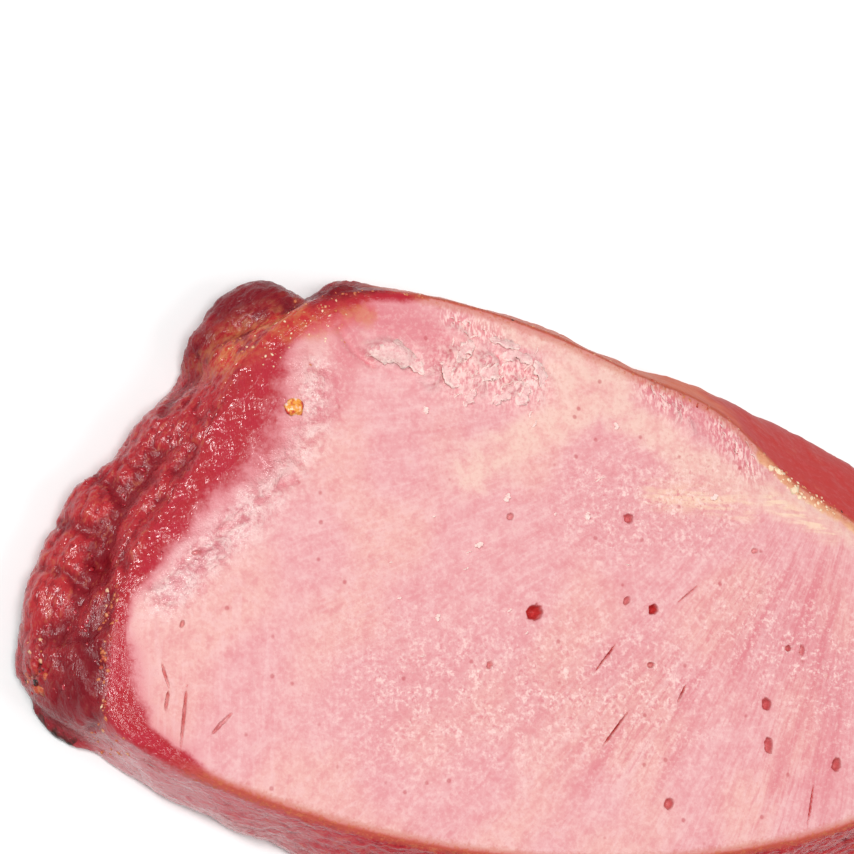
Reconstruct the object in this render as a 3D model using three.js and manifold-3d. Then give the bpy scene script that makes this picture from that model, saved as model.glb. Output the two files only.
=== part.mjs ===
// One thick hand-cut slice of glazed roast ham, lying on its back with the cut face up.
// Millimetres, +Z up. The origin is under the middle of the slice, on the surface it lies on.
// The slice comes from near the tapering end of the joint, so its back is larger than its cut face
// and the glazed bark shows all round, as a wide domed band on the left and at the right end.
// It is one solid: the bark's lobes, folds and crags, the gas pores, the splits between the muscle
// fibres, the torn shreds and the burnt strand at the foot are all relief in it.

import * as THREE from "three";
import { ImprovedNoise } from "three/addons/math/ImprovedNoise.js";
import { ParametricGeometry } from "three/addons/geometries/ParametricGeometry.js";
import { mergeVertices } from "three/addons/utils/BufferGeometryUtils.js";
import Module from "manifold-3d";

// ---- Driving dimensions ----

const THICKNESS = 14;

// The rim of the cut face, counter-clockwise from above. Each row is x, y and the bark's flare there:
// how far the wall stands out beyond the rim. The rows' own zero is a point near the upper left.
const RIM = [
  [-45, -43.6, 2], // lower left corner
  [-38, -48, 2],
  [-24.5, -53.2, 3.4],
  [-4, -58.6, 4.6],
  [20, -61.6, 5],
  [47, -60.6, 5.5],
  [72, -55, 6.5],
  [87.5, -45.5, 8],
  [92, -34, 9], // right end
  [89, -24, 9.5],
  [81, -15.8, 9.8],
  [70, -9.4, 10.5],
  [60, -4, 9.6],
  [50, 4, 6],
  [44, 7.1, 4.2],
  [34, 10.2, 3],
  [19.4, 15.4, 3],
  [3.6, 18.9, 1.8],
  [-8, 19.6, 1.8],
  [-17, 17.2, 3], // upper left corner
  [-25, 10, 5.5],
  [-29, 2.5, 6.8],
  [-35, -9, 8.6],
  [-41, -19, 9.6],
  [-45, -28, 9.8],
  [-46, -36, 9],
];
const FACE_CENTRE = [22, -22]; // the rows of the cut face spread from here

// The wall's section is a quarter turn and a little more, so that it tucks in again at the foot.
const WALL_TURN = 0.69 * Math.PI;
const FOOT_ROUND = 0.8; // height of the first row above the foot

// The cut face: how it dips towards a flared rim, and its slow waves.
const DIP_SHARE = 0.12; // of the flare
const DIP_REACH = 4;
const WAVE_HEIGHT = 0.35;
const WAVE_LENGTH = 22;
const WAVE_SEED = 0.5;
const EDGE_ROUND = 0.3;

// The bark: crags of two sizes all over, and these lobes (rise above 0) and folds (below 0). Each
// runs from one point to another, and fades with the distance from that line.
const CRAGS = [
  { height: 0.75, length: 5.5 },
  { height: 0.4, length: 2.6 },
];
const CLEAN_RIM = 0.4; // of the wall's height: the cut leaves the rim clean, and the relief grows in
const BARK_SHAPES = [
  { from: [-25.5, 18.5, 4], to: [-22, 19.5, 6], reach: 4.4, rise: 3.8 }, // dark knob at the upper left
  { from: [-30.5, 10, 5], to: [-28, 15.5, 6], reach: 3.2, rise: 2.2 }, // its shoulder
  { from: [-17, 20.5, 3], to: [-15.5, 19, 10], reach: 2.4, rise: -2.4 }, // notch beside the knob
  { from: [-11, 20.6, 6], to: [-8, 21, 6], reach: 3, rise: 0.9 },
  { from: [-34.5, 6, 4], to: [-30.5, 7, 9], reach: 2.4, rise: -1.8 }, // notch under the shoulder
  { from: [-37.5, -1.5, 6], to: [-35.5, 1.5, 8], reach: 3.4, rise: 1.2 },
  { from: [-35, -7.5, 11], to: [-44, -20, 9.5], reach: 2.1, rise: -1.8 }, // long fold along the band
  { from: [-44, -20, 9.5], to: [-49, -30, 8.5], reach: 2.3, rise: -2 },
  { from: [-45, -10, 5], to: [-49, -17, 5], reach: 4, rise: 1.7 }, // upper lobe
  { from: [-52, -24, 4], to: [-53, -27, 5], reach: 3.5, rise: 0.9 },
  { from: [-50, -35, 7], to: [-49, -39, 6], reach: 4.6, rise: 2.2 }, // lower lobe
  { from: [-46.5, -45.5, 5], to: [-45, -46.5, 9], reach: 2, rise: -1.6 }, // crease at the corner
  { from: [-57, -33.5, 1], to: [-54, -41, 1], reach: 2, rise: 2.8 }, // burnt skirt at the foot
  { from: [60, 3, 4], to: [70, -1, 5], reach: 5, rise: 0.9 },
  { from: [84, -10, 5], to: [86, -12, 6], reach: 4, rise: -1.3 },
  { from: [98, -24, 5], to: [100, -33, 6], reach: 6, rise: 1.6 },
  { from: [95, -44, 5], to: [96, -47, 9], reach: 3, rise: -1.6 },
  { from: [84, -56, 5], to: [76, -60, 6], reach: 5, rise: 1.4 },
  { from: [58, -65, 3], to: [57, -63, 9], reach: 3, rise: -1.3 },
  { from: [44, -66, 5], to: [34, -67, 6], reach: 5, rise: 1.2 },
  { from: [15, -66, 3], to: [15, -64, 9], reach: 3, rise: -1.2 },
  { from: [2, -64, 5], to: [-8, -62, 6], reach: 4.5, rise: 1.3 },
  { from: [-20, -58, 3], to: [-20, -56, 9], reach: 2.6, rise: -1.2 },
];

// Gas pores in the cut face: x, y, half width, length over width, angle in degrees.
const PORES = [
  [16.7, -25.9, 1.1, 1.25, 35],
  [35.7, -24.8, 0.75, 1.15, 30],
  [31.8, -11.6, 0.75, 1.15, 15],
  [54.3, -38.3, 0.85, 1.15, 90],
  [54.5, -44.4, 0.8, 1.7, 90],
  [58.1, -29.9, 0.5, 1, 0],
  [60.4, -30.1, 0.45, 2, 85],
  [12.9, -12.3, 0.55, 1.3, 40],
  [31.3, -23.8, 0.55, 1.5, 60],
  [35.1, -33, 0.5, 1.2, 20],
  [9.5, -33.7, 0.45, 1.4, 45],
  [-33.8, -19.4, 0.5, 1.8, 15],
  [-35.9, -29.3, 0.45, 1.5, 65],
  [52.8, -15.5, 0.45, 1.3, 20],
  [72, -24, 0.7, 1.2, 80],
  [66, -47, 0.8, 1.4, 80],
  [38, -53, 0.7, 1.3, 60],
  [81, -36, 0.6, 1.6, 75],
];
const PORE_DEPTH = 1.3; // over its half width

// Splits between the fibres: x, y of both ends and the width.
const SPLITS = [
  [-38.7, -34.6, -37.6, -38, 0.5],
  [-37.7, -38.4, -38, -41.2, 0.75],
  [-35.1, -37.6, -35.8, -46.4, 0.7],
  [-28.6, -41.2, -31.6, -44.2, 0.7],
  [29.8, -29.8, 26, -34.4, 0.6],
  [31.6, -39.6, 27, -45.2, 0.7],
  [41, -35.6, 39.4, -38.4, 0.7],
  [43.2, -21, 39.6, -23.8, 0.45],
  [76, -29, 75, -37, 0.8],
  [62, -50, 61, -56, 0.7],
];
const SPLIT_DEPTH = 1.1;

// Shreds torn up by the knife: x, y, length, width, angle and bend in degrees.
const SHREDS = [
  [-6, 9.6, 9, 2.2, -20, 45],
  [0.2, 7.4, 5, 1.7, 30, -50],
  [4.4, 10, 5, 1.6, 75, 60],
  [9, 9.4, 5.4, 2, 12, 70],
  [7.4, 6.6, 4.4, 1.6, -38, 50],
  [13, 7.2, 5, 1.7, 55, -50],
  [15.8, 9.8, 4.2, 1.4, -25, 60],
  [11.4, 12.4, 4.4, 1.3, -14, 30],
  [4.6, 13.6, 5, 1.2, -28, 30],
  [39.6, 4.4, 4, 1.2, -65, 20],
  [42.4, 2.4, 3.4, 1.1, -72, -25],
];
const SHRED_STAND = 0.35; // how far the middle of a shred stands above the face, over its width

// The burnt strand that hangs from the foot of the bark to the lower left corner: x, y, z along it.
const STRAND = [
  [-54, -39.5, 1.2],
  [-50.8, -42.8, 0.9],
  [-47, -45.1, 0.9],
  [-42.5, -46.4, 1.4],
];
const STRAND_WIDTH = 1.7;

// ---- Fineness of the mesh ----

const STATIONS = 6 * RIM.length; // they lie closest on the left, where the rim's rows do
const FACE_ROWS = 8;
const WALL_ROWS = 8;
const BACK_ROWS = 2;
const FACE_CROWDING = 1.8; // above 1, the face's rows crowd towards the rim
const PIT_SIDES = 9;
const PIT_RINGS = 6;
const SPINDLE_SIDES = 6;
const SPINDLE_RINGS = 7;

// ---- Shape functions ----

const noise = new ImprovedNoise();
const rimCurve = new THREE.CatmullRomCurve3(
  RIM.map(([x, y, flare]) => new THREE.Vector3(x, y, flare)),
  true,
);
const centre = new THREE.Vector3(...FACE_CENTRE, 0);

const radians = THREE.MathUtils.degToRad;
const bell = (distance, reach) => Math.exp(-((distance / reach) ** 2));

// The rim at u: its point in the plane, its outward direction and the bark's flare.
function rimAt(u) {
  const row = rimCurve.getPoint(u % 1);
  const along = rimCurve.getTangent(u % 1).setZ(0).normalize();
  return {
    point: new THREE.Vector3(row.x, row.y, 0),
    outward: new THREE.Vector3(along.y, -along.x, 0),
    flare: row.z,
  };
}

// Height of the cut face at x, y, where the rim with that flare is so far away.
function faceHeight(x, y, flare, toRim) {
  const wave = WAVE_HEIGHT * noise.noise(x / WAVE_LENGTH, y / WAVE_LENGTH, WAVE_SEED);
  const dip = DIP_SHARE * flare * bell(toRim, DIP_REACH);
  const edge = EDGE_ROUND * bell(toRim, 2 * EDGE_ROUND);
  return THICKNESS + wave - dip - edge;
}

// How far the lobes, folds and crags lift the bark at a point.
function barkRise(point) {
  const nearest = new THREE.Vector3();
  const shaped = BARK_SHAPES.reduce((sum, { from, to, reach, rise }) => {
    const line = new THREE.Line3(new THREE.Vector3(...from), new THREE.Vector3(...to));
    line.closestPointToPoint(point, true, nearest);
    return sum + rise * bell(nearest.distanceTo(point), reach);
  }, 0);
  return CRAGS.reduce((sum, { height, length }) => {
    return sum + height * noise.noise(point.x / length, point.y / length, point.z / length);
  }, shaped);
}

function facePoint(u, row) {
  const { point, flare } = rimAt(u);
  const reach = 1 - (1 - row / FACE_ROWS) ** FACE_CROWDING;
  const toRim = (1 - reach) * point.distanceTo(centre);
  const here = centre.clone().lerp(point, reach);
  return here.setZ(faceHeight(here.x, here.y, flare, toRim));
}

function wallPoint(u, row) {
  const { point, outward, flare } = rimAt(u);
  const down = row / WALL_ROWS;
  const top = faceHeight(point.x, point.y, flare, 0);
  const here = point.clone().addScaledVector(outward, flare * Math.sin(WALL_TURN * down));
  here.z = top * (1 - down);
  here.addScaledVector(outward, Math.min(1, down / CLEAN_RIM) * barkRise(here));
  here.z = row === WALL_ROWS ? 0 : Math.max(here.z, FOOT_ROUND);
  return here;
}

function backPoint(u, row) {
  const foot = wallPoint(u, WALL_ROWS);
  return foot.lerp(centre, row / BACK_ROWS);
}

// The whole skin: from the middle of the cut face out to the rim, down the wall and in under the back.
// It is spun clockwise, so that its triangles face out.
function skinPoint(spin, v, target) {
  const u = 1 - spin;
  const row = Math.round(v * (FACE_ROWS + WALL_ROWS + BACK_ROWS));
  if (row <= FACE_ROWS) target.copy(facePoint(u, row));
  else if (row <= FACE_ROWS + WALL_ROWS) target.copy(wallPoint(u, row - FACE_ROWS));
  else target.copy(backPoint(u, row - FACE_ROWS - WALL_ROWS));
}

// ---- Solids ----

const wasm = await Module();
wasm.setup();

// A three.js geometry as a solid, without the triangles that a pole collapses.
function solidOf(geometry) {
  geometry.deleteAttribute("normal");
  geometry.deleteAttribute("uv");
  const merged = mergeVertices(geometry, 1e-4);
  const corners = [...merged.index.array];
  const kept = [];
  for (let i = 0; i < corners.length; i += 3) {
    const [a, b, c] = corners.slice(i, i + 3);
    if (a !== b && b !== c && c !== a) kept.push(a, b, c);
  }
  return new wasm.Manifold(
    new wasm.Mesh({
      numProp: 3,
      vertProperties: merged.attributes.position.array,
      triVerts: new Uint32Array(kept),
    }),
  );
}

function geometryOf(solid) {
  const { vertProperties, triVerts, numProp } = solid.getMesh();
  const vertices = new THREE.InterleavedBuffer(vertProperties, numProp);
  const geometry = new THREE.BufferGeometry();
  geometry.setAttribute("position", new THREE.InterleavedBufferAttribute(vertices, 3, 0));
  geometry.setIndex(new THREE.BufferAttribute(triVerts, 1));
  return geometry;
}

// The geometry turned about Z by an angle in degrees, then moved.
function placed(geometry, x, y, z, angle) {
  return geometry.rotateZ(radians(angle)).translate(x, y, z);
}

// Pores and splits lie well inside the rim, where the face's height is that of its slow waves alone.
const openFace = (x, y) => faceHeight(x, y, 0, Infinity);

function pit(x, y, halfLength, halfWidth, depth, angle) {
  const bowl = new THREE.SphereGeometry(1, PIT_SIDES, PIT_RINGS);
  bowl.scale(halfLength, halfWidth, depth);
  return solidOf(placed(bowl, x, y, openFace(x, y), angle));
}

function pore([x, y, halfWidth, stretch, angle]) {
  return pit(x, y, halfWidth * stretch, halfWidth, PORE_DEPTH * halfWidth, angle);
}

function split([x0, y0, x1, y1, width]) {
  const length = Math.hypot(x1 - x0, y1 - y0);
  const angle = THREE.MathUtils.radToDeg(Math.atan2(y1 - y0, x1 - x0));
  return pit((x0 + x1) / 2, (y0 + y1) / 2, length / 2, width / 2, SPLIT_DEPTH, angle);
}

// A closed round body along a curve, thickest in its middle and pointed at both ends.
function spindle(curve, width) {
  const skin = (turn, along, target) => {
    const ahead = curve.getTangentAt(along);
    const side = new THREE.Vector3(0, 0, 1).cross(ahead).normalize();
    const radius = (width / 2) * Math.sqrt(Math.max(0, 1 - (2 * along - 1) ** 2));
    side.applyAxisAngle(ahead, 2 * Math.PI * turn);
    target.copy(curve.getPointAt(along)).addScaledVector(side, radius);
  };
  return new ParametricGeometry(skin, SPINDLE_SIDES, SPINDLE_RINGS);
}

function shred([x, y, length, width, angle, bend]) {
  const rise = SHRED_STAND * width;
  const side = (length / 4) * Math.sin(radians(bend));
  const curve = new THREE.CatmullRomCurve3([
    new THREE.Vector3(-length / 2, -side, -rise),
    new THREE.Vector3(0, side, rise),
    new THREE.Vector3(length / 2, -side, -rise),
  ]);
  return solidOf(placed(spindle(curve, width), x, y, openFace(x, y), angle));
}

function strand() {
  const curve = new THREE.CatmullRomCurve3(STRAND.map((point) => new THREE.Vector3(...point)));
  return solidOf(spindle(curve, STRAND_WIDTH));
}

function slice() {
  const rows = FACE_ROWS + WALL_ROWS + BACK_ROWS;
  let solid = solidOf(new ParametricGeometry(skinPoint, STATIONS, rows));
  for (const row of PORES) solid = solid.subtract(pore(row));
  for (const row of SPLITS) solid = solid.subtract(split(row));
  for (const row of SHREDS) solid = solid.add(shred(row));
  return solid.add(strand());
}

// ---- The object ----

const ham = new THREE.MeshStandardMaterial({ color: 0xf0acac, roughness: 0.4, metalness: 0 });

const hamSlice = new THREE.Mesh(geometryOf(slice()), ham);
hamSlice.name = "ham_slice";
const box = new THREE.Box3().setFromObject(hamSlice);
hamSlice.position.set(-(box.min.x + box.max.x) / 2, -(box.min.y + box.max.y) / 2, -box.min.z);

const object = new THREE.Group();
object.add(hamSlice);

export default object;
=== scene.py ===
"""The looks of one thick hand-cut slice of glazed roast ham, lying on its back with the cut face up.

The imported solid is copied, given an even skin of small cells and softened. Then its vertices are
moved to carve the fibres, crumbly patches, pores, splits and torn flesh of the cut face, and the
lobes, folds and beads of the glazed bark. Loose shreds, crisp crumbs, beads of glaze and one drop of
burnt sugar are pieces of their own. Sizes in the tables are millimetres on the slice's drawing,
whose zero lies near the upper left of the cut face.
"""

import functools
import math
import random

import bmesh
import bpy
import numpy as np
from bpy.props import FloatProperty, FloatVectorProperty, IntProperty, PointerProperty
from mathutils import Matrix, Vector, kdtree, noise
from mathutils.bvhtree import BVHTree


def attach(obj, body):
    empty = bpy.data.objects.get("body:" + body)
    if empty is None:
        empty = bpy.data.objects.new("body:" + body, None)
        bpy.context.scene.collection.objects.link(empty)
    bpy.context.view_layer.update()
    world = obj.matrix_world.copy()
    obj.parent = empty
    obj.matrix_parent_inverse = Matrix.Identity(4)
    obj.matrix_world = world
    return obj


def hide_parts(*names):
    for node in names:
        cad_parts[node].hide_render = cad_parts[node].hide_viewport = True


bl_info = {
    "name": "Glazed ham slice",
    "version": (1, 0, 0),
    "blender": (4, 5, 0),
    "location": "View3D > Sidebar > Ham Slice",
    "description": "Carves and colours a thick slice of glazed roast ham",
    "category": "Object",
}

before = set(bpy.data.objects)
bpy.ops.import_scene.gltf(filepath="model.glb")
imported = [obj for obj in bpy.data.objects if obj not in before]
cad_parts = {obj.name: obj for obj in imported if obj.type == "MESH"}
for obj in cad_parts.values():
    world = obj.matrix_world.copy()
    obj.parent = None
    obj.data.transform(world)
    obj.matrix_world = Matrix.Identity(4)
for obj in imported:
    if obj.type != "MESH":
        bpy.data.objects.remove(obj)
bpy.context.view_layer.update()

MM = 0.001
CAD_NODE = "ham_slice"
SLICE = "carved_slice"
BODY = "root"
SEED = 11

# ---- The drawing's shapes, in millimetres ----

DRAWING_ZERO = Vector((-23.084, 22.785, 0.0))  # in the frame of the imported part
THICKNESS = 14.0

# The rim of the cut face, counter-clockwise from above: x, y and how far the bark flares out there.
RIM = [
    (-45, -43.6, 2),
    (-38, -48, 2),
    (-24.5, -53.2, 3.4),
    (-4, -58.6, 4.6),
    (20, -61.6, 5),
    (47, -60.6, 5.5),
    (72, -55, 6.5),
    (87.5, -45.5, 8),
    (92, -34, 9),
    (89, -24, 9.5),
    (81, -15.8, 9.8),
    (70, -9.4, 10.5),
    (60, -4, 9.6),
    (50, 4, 6),
    (44, 7.1, 4.2),
    (34, 10.2, 3),
    (19.4, 15.4, 3),
    (3.6, 18.9, 1.8),
    (-8, 19.6, 1.8),
    (-17, 17.2, 3),
    (-25, 10, 5.5),
    (-29, 2.5, 6.8),
    (-35, -9, 8.6),
    (-41, -19, 9.6),
    (-45, -28, 9.8),
    (-46, -36, 9),
]

# How the edge changes along the rim: row of RIM, share of beads, share of folds, how far the red
# reaches into the cut face, share of smooth rind, share of bare pink wall, how far the bark's own
# look laps over the rim, and how orange the rind is.
EDGE_LOOKS = [
    (0, 0.5, 0.5, 3.4, 0, 0.2, 0.1, 0),
    (0.7, 0.3, 0.4, 2.2, 0, 0.7, 0.1, 0),
    (1.6, 0.4, 0.5, 1.2, 0, 0.6, 0, 0),
    (3, 0.8, 0.8, 0.9, 0, 0, 0, 0),
    (6, 0.9, 0.8, 0.9, 0, 0, 0, 0),
    (8.5, 0.8, 0.8, 0.8, 0.3, 0, 0, 0),
    (10, 0.3, 0.3, 0.5, 1, 0, 0, 0),
    (12.4, 0.25, 0.2, 0.4, 1, 0, 0, 0),
    (13.4, 0.25, 0.2, 0.4, 1, 0, 0, 0.5),
    (14.4, 0.25, 0.2, 0.4, 1, 0, 0, 1),
    (17.2, 0.5, 0.3, 0.5, 0.7, 0, 0, 1),
    (17.7, 0.6, 0.5, 1.8, 0.6, 0, 0.1, 1),
    (18.1, 0.8, 0.8, 3.2, 0, 0, 0.8, 0),
    (18.8, 0.8, 0.8, 4.0, 0, 0, 1.3, 0),
    (19.3, 0.8, 0.6, 4.2, 0, 0, 0.2, 0),
    (20.2, 1, 0.8, 7.4, 0, 0, -1.2, 0),
    (20.9, 1, 0.8, 9, 0, 0, -1.2, 0),
    (21.5, 1, 1, 8.8, 0, 0, -0.8, 0),
    (22.1, 1, 1, 5.6, 0, 0, -0.6, 0),
    (22.8, 1, 1, 3.6, 0, 0, -0.4, 0),
    (23.5, 1, 1, 2.6, 0, 0, -0.2, 0),
    (24.2, 1, 1, 1.8, 0, 0, 0.1, 0),
    (25, 1, 1, 2.2, 0, 0, 0.2, 0),
    (25.5, 0.8, 0.8, 3.2, 0, 0, 0.2, 0),
]

# The bark's larger forms: x, y, z, reach and rise of each lobe, then lines of points for each valley
# with its reach and depth.
BARK_LOBES = [
    (-12.4, 18.6, 12.6, 2.4, 0.9),
    (-24.8, 18.8, 7, 4.4, 0.5),
    (-30, 12.6, 6.9, 2.6, 0.5),
    (-29.8, 7.6, 9.1, 2.6, 0.5),
    (-26.6, 6.6, 12.9, 3, 0.5),
    (-29.5, -1.2, 13, 3.2, 0.6),
    (-41.5, -6.4, 7.2, 3.6, 0.5),
    (-47.6, -12.9, 7.1, 4.4, 0.7),
    (-51.4, -20.5, 6.9, 4.6, 0.6),
    (-52.9, -26.3, 7.3, 3.6, 0.6),
    (-37, -10, 11.4, 2.6, 0.4),
    (-42, -18.7, 11.9, 2.6, 0.5),
    (-49.1, -37.3, 10.8, 4.4, 1.1),
    (-54.3, -33.5, 6.8, 2.6, 0.5),
]
BARK_VALLEYS = [
    ([(-38.4, -5.6, 9.4), (-42, -10.7, 9.3), (-44.9, -15.7, 8.8), (-46.6, -20.8, 9.4)], 1.6, 1.3),
    ([(-46.6, -20.8, 9.4), (-49, -26.4, 9.6), (-51.6, -31.3, 9), (-54, -30.5, 5)], 1.5, 1.1),
    ([(-46.4, -21.4, 9.6), (-45.8, -25.4, 10.8), (-46.6, -29.2, 11.4), (-48.5, -30.9, 10.9)], 1.4, 1.0),
    ([(-46.9, -34, 11.6), (-46.5, -38, 11.8), (-46.4, -42, 11), (-47.4, -45.5, 7)], 1.1, 1.3),
    ([(-31.5, 9.8, 5.4), (-32, 6.9, 6), (-34.1, 4, 5.2), (-37.1, 1.1, 7.4)], 1.4, 0.8),
    ([(-30.6, 9.8, 6.5), (-26.7, 13.3, 9.3), (-22.5, 15.4, 11.2), (-18.9, 17.9, 11.2)], 1.3, 1.2),
    ([(-43.5, -11.5, 9.2), (-44.8, -9.5, 7), (-46, -8.5, 4)], 1.1, 1.0),
    ([(-46.5, -17, 8.8), (-49.8, -15.6, 7), (-52, -15, 4)], 1.1, 0.8),
    ([(-48.5, -24, 9.4), (-52, -22, 7), (-54, -21.6, 4)], 1.0, 0.8),
    ([(-34, -4, 11.8), (-37, -9.5, 11), (-40.6, -15.8, 11), (-43.6, -21, 11)], 0.7, 0.5),
]

# Gas pores: x, y, half width, length over width, angle in degrees and how much painted shade darkens the inside.
PORES = [
    (16.7, -25.9, 1.1, 1.25, 35, 1),
    (35.7, -24.8, 0.75, 1.15, 30, 1),
    (31.8, -11.6, 0.7, 1.15, 15, 0.55),
    (54.3, -38.3, 0.8, 1.15, 90, 0.7),
    (54.5, -44.4, 0.75, 1.7, 90, 0.6),
    (58.1, -29.9, 0.5, 1, 0, 0.6),
    (60.4, -30.1, 0.45, 2, 85, 0.4),
    (12.9, -12.3, 0.5, 1.3, 40, 0.35),
    (31.3, -23.8, 0.5, 1.5, 60, 0.5),
    (35.1, -33, 0.45, 1.2, 20, 0.5),
    (9.5, -33.7, 0.45, 1.4, 45, 0.4),
    (-33.8, -19.4, 0.38, 1.8, 15, 0.35),
    (-35.9, -29.3, 0.36, 1.5, 65, 0.35),
    (52.8, -15.5, 0.45, 1.3, 20, 0.3),
    (72, -24, 0.7, 1.2, 80, 0.6),
    (66, -47, 0.8, 1.4, 80, 0.7),
    (38, -53, 0.7, 1.3, 60, 0.6),
    (81, -36, 0.6, 1.6, 75, 0.6),
]

# Splits between the fibres: x, y of both ends, the width and how much painted shade darkens the inside.
SPLITS = [
    (-38.7, -34.6, -37.6, -38, 0.45, 0.6),
    (-37.7, -38.4, -38, -41.2, 0.55, 0.6),
    (-35.1, -37.6, -35.8, -46.4, 0.5, 0.65),
    (-28.6, -41.2, -31.6, -44.2, 0.6, 0.5),
    (29.8, -29.8, 26, -34.4, 0.34, 0.85),
    (31.6, -39.6, 27, -45.2, 0.38, 0.85),
    (41, -35.6, 39.4, -38.4, 0.41, 0.85),
    (43.2, -21, 39.6, -23.8, 0.26, 0.65),
    (76, -29, 75, -37, 0.45, 0.85),
    (62, -50, 61, -56, 0.38, 0.85),
]

# Flaps torn up by the knife: x, y, length, width, angle and how far each bends, in degrees.
SHREDS = [
    (-4.6, 9.9, 9.5, 2.4, -16, -60),
    (3.2, 7.6, 4.4, 1.9, -50, 60),
    (5.4, 11.6, 4.8, 1.8, 40, -90),
    (9.6, 8.6, 4.2, 2.2, 10, -160),
    (14.2, 11.4, 5.2, 1.8, -8, -70),
    (17.8, 9, 4.2, 1.7, -75, -60),
    (15.2, 5.6, 3.8, 1.4, 62, 50),
    (11.6, 5, 3.2, 1.2, 25, -40),
    (6.6, 4.6, 3, 1.2, 55, 30),
    (12.2, 12.9, 5, 1.2, -12, 30),
]
# Thin wisps of fibre: lines of points, how far the wisps stray, their number, length and angle.
WISPS = [
    ([(3.6, 16.4), (10, 14.6)], 0.9, 10, 1.2, -50),
    ([(3, 9), (18, 8)], 2.4, 34, 1.2, 60),
    ([(35.5, 8), (41, 5.6)], 1.2, 8, 1.2, -68),
    ([(47, 3), (53, -2.6)], 1.3, 8, 1.2, -70),
    ([(-4, -27), (30, -10)], 6, 12, 0.7, 40),
]

# Zones of the cut face: lines of points, and how far each zone reaches to the sides of its line.
FAT_SEAMS = [
    ([(7, -6), (19.6, 1.1), (27.2, 6), (35.2, 2.5), (40.7, -2)], 3.6),
    ([(40.7, -2), (50.9, -5), (57.3, -7.6), (63.8, -9.5), (74, -13)], 2.6),
    ([(22, 9), (30, 8)], 5),
    ([(43.3, -7.7), (50.8, -7.7), (60, -10)], 1.2),
    ([(8, 15.5), (22, 12.5), (32, 9)], 1.6),
]
CREAMY = [([(36, -8), (43, -8.4), (51, -9.4)], 2), ([(56, -8), (66, -12)], 1.6)]
CORNER_RED = [([(-44.6, -33), (-43.6, -38), (-41.6, -44.6), (-36, -48.4)], 2.8)]
AMBER = [([(-29, 8.6), (-26, 11.4), (-19, 14.8)], 2.7), ([(-21, 12.4), (-14, 14.4), (-9, 16)], 1.9)]
GOLD = [([(54.5, -1), (61.5, -6), (69.5, -10.6), (79, -17)], 1.1)]
PLUM = [
    ([(-28, 17), (-21, 20)], 5),
    ([(-31, 12), (-31.5, 9)], 2.4),
    ([(-50, -40), (-48, -34)], 5),
    ([(-15, 19), (-7, 20.6)], 2.2),
]
GLITTER = [([(-17.2, 6.5), (-17.7, -0.5), (-21.6, -6.1), (-26.9, -13.9), (-32.5, -19.7), (-38, -25)], 3.2)]
FRAYED = [
    ([(35.6, 8.2), (40.6, 5)], 2.4),
    ([(47, 3), (52.6, -2.6)], 2.6),
    ([(3.6, 16.2), (11, 14)], 1.7),
    ([(5, 9), (15, 8)], 3.6),
]
TORN = [([(-8.1, 9.9), (-4.2, 10.9), (2, 8)], 1.6), ([(4.6, 9), (11.4, 9), (16.4, 8)], 4.2)]
CRUMBLY = [([(36.5, 8.4), (41.5, 5.6)], 2.6), ([(48, 2.6), (53.5, -3)], 2.8), ([(-2, -38), (34, -36)], 11), ([(29, -10), (44, -9)], 8), ([(52, -26), (66, -34)], 9)]
STREAKY = [([(30, -44), (52, -26)], 9), ([(62, -22), (58, -50)], 13), ([(80, -30), (78, -45)], 10)]
ROSY = [([(35.7, 9), (44, 5.6), (50.9, -1.2)], 2.6), ([(-9, 16), (0, 14), (2, 11)], 3.4), ([(-12, 12), (-15, 2)], 3)]
FLUSHED = [([(49, -29), (50, -39)], 3.4), ([(63, -22), (64, -50)], 6.5)]
FOLDS = [
    [(-20.6, -8.5), (-26.3, -12.8), (-31.7, -17.8), (-40.2, -24)],
    [(-13, 13.6), (-11.2, 10.6), (-8.2, 8.4)],
]
FIBRE_FAN = (79.0, 18.0)  # the fibres of the main muscle spread from here
LEFT_MUSCLE = ([(-32, -34), (-30, -50)], 13)  # the small muscle, whose fibres run up the drawing

# Where crisp crumbs lie: lines of points on the drawing, how far the crumbs stray from each, their
# number, their mean width and how toasted they are, from 0 for cream to 1 for black.
CRUMB_LINES = [
    ([(-44.6, -24), (-45.9, -30), (-46.3, -36), (-45.8, -44), (-42, -47)], 0.4, 80, 0.5, 0.42),
    ([(-29, 8.6), (-26, 12), (-21, 15.4), (-12.6, 17.6)], 1.1, 40, 0.4, 0.35),
    ([(-17, 17.5), (-8, 19.6), (3.6, 18.9), (19.4, 15.4), (34, 10.2), (50, 4)], 0.25, 120, 0.34, 0.5),
    ([(50, 4), (60, -4), (70, -9.4), (81, -15.8), (89, -24)], 0.3, 50, 0.4, 0.36),
    ([(-27, 7.6), (-20, 12.8), (-12, 14.8)], 1.7, 70, 0.28, 0.14),
    ([(-54.8, -31), (-56, -37), (-54.6, -43), (-50, -47)], 0.8, 70, 0.5, 0.3),
    ([(56.5, -2.6), (61, -5.4), (67.5, -9)], 0.6, 60, 0.45, 0.04),
    ([(56.5, -2.2), (59, -3.6)], 0.3, 22, 0.8, 0.0),
    ([(60, -5.6), (61.4, -6.6)], 0.2, 6, 0.9, 0.0),
    ([(66, -7.8), (76, -13)], 0.3, 6, 0.4, 0.95),
    ([(-55, -37), (-53.6, -43), (-48.4, -48), (-40, -51)], 0.5, 60, 0.8, 0.9),
    ([(-54.6, -35), (-54, -42), (-49, -47.6), (-41, -50.6)], 0.5, 70, 1.2, 0.62),
]
BEAD_LINE = [(-31, 8), (-38, -5), (-46, -15), (-51, -27), (-51, -40)]
DROP = (-19.9, 1.6, 1.3)  # a drop of burnt sugar: x, y and half width
FLECKS = [(-0.3, 2.4), (12.4, -9.5), (8, -16.6), (1.6, -27.2), (25.2, -11.6), (30, 2), (46, -7.8)]

# ---- Settings that a user would change ----


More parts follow.
